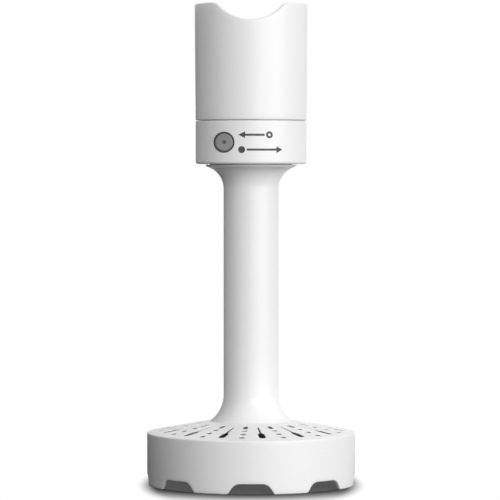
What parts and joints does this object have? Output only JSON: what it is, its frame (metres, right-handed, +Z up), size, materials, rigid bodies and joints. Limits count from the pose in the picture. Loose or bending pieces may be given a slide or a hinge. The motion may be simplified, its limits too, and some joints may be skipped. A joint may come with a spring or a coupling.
{
  "type": "hand blender mashing attachment",
  "caption": "Mashing foot for a stick blender: scalloped motor sleeve, geared collar, long stem and a perforated round foot with a turning paddle for pureeing soft food.",
  "frame": {"origin": "on the axis of the stem, at the level of the rim that the foot stands on", "axes": "+Z up the stem towards the motor sleeve, -Y towards the side with the badge, +X to its right"},
  "size_m": [0.1, 0.1, 0.2305],
  "materials": {
    "white_plastic": "satin moulded white plastic",
    "badge_grey": "plain grey inlaid disc",
    "cover_plastic": "pale grey moulded plastic",
    "coupling_plastic": "black glass-filled plastic",
    "gear_plastic": "natural low-friction gear plastic",
    "steel": "ground stainless steel",
    "bronze": "oil-filled sintered bronze",
    "seal_rubber": "soft dark seal rubber",
    "paddle_plastic": "satin dark grey food-safe plastic"
  },
  "bodies": {
    "stem": {"masher_foot": "white_plastic", "masher_stem": "white_plastic", "stem_top_plug": "cover_plastic", "lower_shaft_bush": "bronze", "upper_shaft_bush": "bronze", "shaft_seal": "seal_rubber"},
    "collar": {"gearbox_base": "white_plastic", "badge_disc": "badge_grey", "output_bush": "bronze", "ring_gear": "gear_plastic", "cover_gasket": "seal_rubber", "gearbox_cover": "cover_plastic", "input_bush": "bronze", "collar_sleeve": "white_plastic", "cover_screws": "steel"},
    "drive": {"drive_shaft": "steel", "shaft_clip": "steel", "drive_hub": "coupling_plastic", "hub_screw": "steel", "output_carrier": "gear_plastic", "second_planet_pins": "steel"},
    "first_stage": {"first_carrier": "gear_plastic", "first_planet_pins": "steel"},
    "input": {"input_pinion": "steel", "input_coupling": "coupling_plastic"},
    "paddle": {"masher_paddle": "paddle_plastic"},
    "first_planet_1": {"first_planet_1": "gear_plastic"},
    "second_planet_1": {"second_planet_1": "gear_plastic"},
    "first_planet_2": {"first_planet_2": "gear_plastic"},
    "second_planet_2": {"second_planet_2": "gear_plastic"},
    "first_planet_3": {"first_planet_3": "gear_plastic"},
    "second_planet_3": {"second_planet_3": "gear_plastic"}
  },
  "joints": [
    {"name": "collar_twist", "type": "hinge", "parent": "stem", "child": "collar", "pos_m": [0, 0, 0.158], "axis": [0, 0, 1], "range_deg": [0, 30]},
    {"name": "drive_spin", "type": "hinge", "parent": "collar", "child": "drive", "pos_m": [0, 0, 0.165], "axis": [0, 0, 1], "continuous": true},
    {"name": "first_stage_spin", "type": "hinge", "parent": "collar", "child": "first_stage", "pos_m": [0, 0, 0.174], "axis": [0, 0, 1], "continuous": true},
    {"name": "input_spin", "type": "hinge", "parent": "collar", "child": "input", "pos_m": [0, 0, 0.186], "axis": [0, 0, 1], "continuous": true},
    {"name": "paddle_lock", "type": "hinge", "parent": "drive", "child": "paddle", "pos_m": [0, 0, 0.017], "axis": [0, 0, 1], "range_deg": [0, 40]},
    {"name": "second_planet_1_spin", "type": "hinge", "parent": "drive", "child": "second_planet_1", "pos_m": [0.0108, 0, 0.17], "axis": [0, 0, 1], "continuous": true},
    {"name": "first_planet_1_spin", "type": "hinge", "parent": "first_stage", "child": "first_planet_1", "pos_m": [0.0108, 0, 0.178], "axis": [0, 0, 1], "continuous": true},
    {"name": "second_planet_2_spin", "type": "hinge", "parent": "drive", "child": "second_planet_2", "pos_m": [-0.0054, 0.00935, 0.17], "axis": [0, 0, 1], "continuous": true},
    {"name": "first_planet_2_spin", "type": "hinge", "parent": "first_stage", "child": "first_planet_2", "pos_m": [-0.0054, 0.00935, 0.178], "axis": [0, 0, 1], "continuous": true},
    {"name": "second_planet_3_spin", "type": "hinge", "parent": "drive", "child": "second_planet_3", "pos_m": [-0.0054, -0.00935, 0.17], "axis": [0, 0, 1], "continuous": true},
    {"name": "first_planet_3_spin", "type": "hinge", "parent": "first_stage", "child": "first_planet_3", "pos_m": [-0.0054, -0.00935, 0.178], "axis": [0, 0, 1], "continuous": true}
  ],
  "couplings": [
    {"joint": "first_stage_spin", "follows": "drive_spin", "ratio": 4},
    {"joint": "input_spin", "follows": "drive_spin", "ratio": 16},
    {"joint": "second_planet_1_spin", "follows": "drive_spin", "ratio": -3},
    {"joint": "first_planet_1_spin", "follows": "drive_spin", "ratio": -12},
    {"joint": "second_planet_2_spin", "follows": "drive_spin", "ratio": -3},
    {"joint": "first_planet_2_spin", "follows": "drive_spin", "ratio": -12},
    {"joint": "second_planet_3_spin", "follows": "drive_spin", "ratio": -3},
    {"joint": "first_planet_3_spin", "follows": "drive_spin", "ratio": -12}
  ]
}
